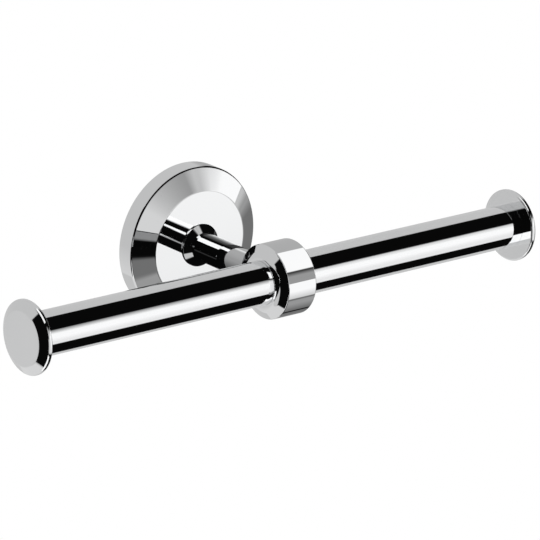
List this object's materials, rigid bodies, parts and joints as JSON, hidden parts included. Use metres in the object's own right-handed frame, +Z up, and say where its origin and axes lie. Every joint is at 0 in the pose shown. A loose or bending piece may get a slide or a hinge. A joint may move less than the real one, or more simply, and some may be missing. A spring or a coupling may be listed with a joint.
{
  "type": "toilet roll holder",
  "caption": "Chrome wall-mounted toilet roll holder with a round rosette, a short post, a ring hub and straight arms that end in coned discs.",
  "frame": {"origin": "centre of the wall bracket's back face, in the plane of the wall", "axes": "+X along the arms, +Y into the wall, +Z up, so the post leaves the wall along -Y"},
  "size_m": [0.2546, 0.0783, 0.064],
  "materials": {
    "chrome": "polished chrome plate over brass",
    "zinc": "cast zinc, as cast",
    "steel": "plain stainless steel",
    "brass": "turned brass"
  },
  "bodies": {
    "root": {"wall_bracket": "zinc", "rosette": "chrome", "rosette_set_screw": "steel", "post_bolt": "steel", "post_washer": "steel", "locating_pin": "steel", "base_collar": "chrome", "post": "chrome", "post_stud": "steel", "hub": "chrome", "tie_rod": "steel", "bar_tube_left": "chrome", "bar_tube_right": "chrome", "hub_insert_left": "brass", "hub_insert_right": "brass", "end_insert_left": "brass", "end_insert_right": "brass", "end_stud_left": "steel", "end_stud_right": "steel", "end_disc_left": "chrome", "end_disc_right": "chrome"}
  },
  "joints": []
}
